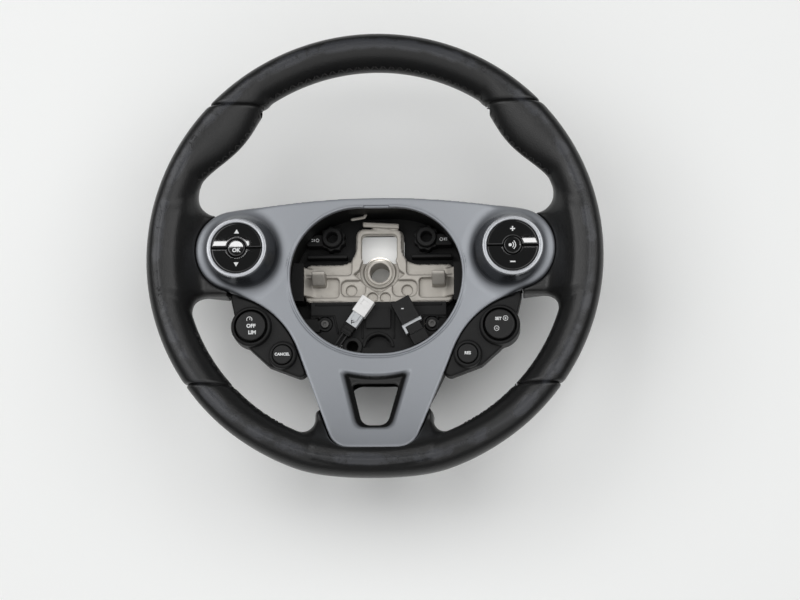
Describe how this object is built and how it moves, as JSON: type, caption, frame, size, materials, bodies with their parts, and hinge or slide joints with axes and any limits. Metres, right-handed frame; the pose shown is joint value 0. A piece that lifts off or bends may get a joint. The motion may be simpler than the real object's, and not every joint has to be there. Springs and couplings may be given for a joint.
{
  "type": "steering wheel",
  "caption": "Leather-covered car steering wheel with thumb grips, satin silver bezel, key pods and rocker switches, lying face up with its airbag out and its cast hub bare.",
  "frame": {"origin": "on the column axis, in the rear face of the hub boss", "axes": "+Z along the column axis towards the driver, +Y to twelve o'clock, +X to three o'clock"},
  "size_m": [0.3702, 0.3675, 0.1136],
  "materials": {
    "casting": "rough cast magnesium, dull",
    "foam": "moulded padding, matt",
    "leather": "smooth grain, worn to a sheen",
    "silver": "satin silver paint",
    "black_plastic": "matt, fine grain",
    "bush": "matt",
    "white_plastic": "satin",
    "plug_black": "satin",
    "plug_lock": "satin",
    "lead": "smooth insulation",
    "switch_black": "fine grain",
    "key_black": "satin, with white legends",
    "gloss_black": "high gloss, with white legends",
    "screw": "dull zinc"
  },
  "bodies": {
    "wheel": {"armature": "casting", "rim_foam": "foam", "leather_top": "leather", "leather_right": "leather", "leather_left": "leather", "leather_bottom": "leather", "bezel": "silver", "rear_cover": "black_plastic", "bay_wall": "black_plastic", "bay_floor": "black_plastic", "bush_post_right": "black_plastic", "bush_post_left": "black_plastic", "wiring_tray": "black_plastic", "airbag_bush_right": "bush", "airbag_bush_left": "bush", "airbag_bush_lower": "bush", "airbag_plug": "white_plastic", "airbag_plug_latch": "plug_lock", "airbag_plug_boot": "plug_black", "airbag_leads": "lead", "horn_plug": "plug_black", "horn_plug_lock": "plug_lock", "horn_plug_cap": "plug_black", "horn_plug_tail": "plug_black", "horn_lead": "plug_black", "right_switch": "switch_black", "left_switch": "switch_black", "right_pod_base": "black_plastic", "left_pod_base": "black_plastic", "switch_screws": "screw", "cover_screws": "screw"},
    "right_upper_key": {"right_upper_key": "gloss_black"},
    "right_lower_key": {"right_lower_key": "gloss_black"},
    "right_centre_key": {"right_centre_key": "gloss_black"},
    "left_upper_key": {"left_upper_key": "gloss_black"},
    "left_lower_key": {"left_lower_key": "gloss_black"},
    "left_centre_key": {"left_centre_key": "gloss_black"},
    "resume_key": {"resume_key": "key_black"},
    "cancel_key": {"cancel_key": "key_black"},
    "set_rocker": {"set_rocker": "key_black"},
    "limit_rocker": {"limit_rocker": "key_black"}
  },
  "joints": [
    {"name": "right_upper_key_press", "type": "slide", "parent": "wheel", "child": "right_upper_key", "axis": [0, 0, -1], "range_m": [0, 0.001], "stiffness_N_per_m": 1500, "springref_m": -0.0005},
    {"name": "right_lower_key_press", "type": "slide", "parent": "wheel", "child": "right_lower_key", "axis": [0, 0, -1], "range_m": [0, 0.001], "stiffness_N_per_m": 1500, "springref_m": -0.0005},
    {"name": "right_centre_key_press", "type": "slide", "parent": "wheel", "child": "right_centre_key", "axis": [0, 0, -1], "range_m": [0, 0.001], "stiffness_N_per_m": 1500, "springref_m": -0.0005},
    {"name": "left_upper_key_press", "type": "slide", "parent": "wheel", "child": "left_upper_key", "axis": [0, 0, -1], "range_m": [0, 0.001], "stiffness_N_per_m": 1500, "springref_m": -0.0005},
    {"name": "left_lower_key_press", "type": "slide", "parent": "wheel", "child": "left_lower_key", "axis": [0, 0, -1], "range_m": [0, 0.001], "stiffness_N_per_m": 1500, "springref_m": -0.0005},
    {"name": "left_centre_key_press", "type": "slide", "parent": "wheel", "child": "left_centre_key", "axis": [0, 0, -1], "range_m": [0, 0.001], "stiffness_N_per_m": 1500, "springref_m": -0.0005},
    {"name": "resume_key_press", "type": "slide", "parent": "wheel", "child": "resume_key", "axis": [0, 0, -1], "range_m": [0, 0.001], "stiffness_N_per_m": 1500, "springref_m": -0.0005},
    {"name": "cancel_key_press", "type": "slide", "parent": "wheel", "child": "cancel_key", "axis": [0, 0, -1], "range_m": [0, 0.001], "stiffness_N_per_m": 1500, "springref_m": -0.0005},
    {"name": "set_rocker_tip", "type": "hinge", "parent": "wheel", "child": "set_rocker", "pos_m": [0.101, -0.0555, 0.0735], "axis": [1, 0, 0], "range_deg": [-5, 5], "stiffness_Nm_per_rad": 0.6},
    {"name": "limit_rocker_tip", "type": "hinge", "parent": "wheel", "child": "limit_rocker", "pos_m": [-0.101, -0.0555, 0.0735], "axis": [1, 0, 0], "range_deg": [-5, 5]}
  ]
}
